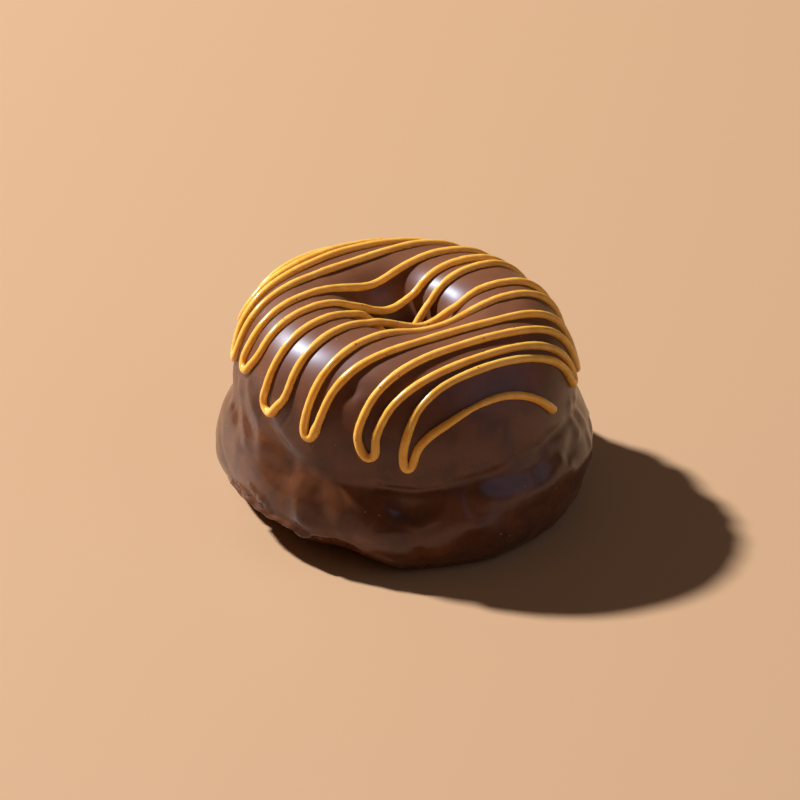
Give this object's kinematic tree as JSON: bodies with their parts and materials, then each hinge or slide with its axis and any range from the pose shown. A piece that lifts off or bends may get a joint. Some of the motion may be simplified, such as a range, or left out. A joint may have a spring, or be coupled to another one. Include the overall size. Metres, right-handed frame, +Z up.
{
  "type": "doughnut",
  "caption": "Tall ring doughnut coated all over in dark chocolate, with a thick skirt of coating round its foot and caramel drizzled in a zigzag over the top.",
  "frame": {"origin": "centre of the flat underside, on the surface the doughnut stands on, at the middle of its outline", "axes": "+Z up along the axis of the hole; azimuth 0 is +X, and the drizzle strokes run 34 degrees from +X towards +Y"},
  "size_m": [0.0914, 0.0916, 0.0542],
  "materials": {
    "chocolate": "set dark chocolate coating, satin to glossy",
    "caramel": "set caramel drizzle, satin, faintly translucent"
  },
  "bodies": {
    "root": {"doughnut": "chocolate"}
  },
  "joints": []
}
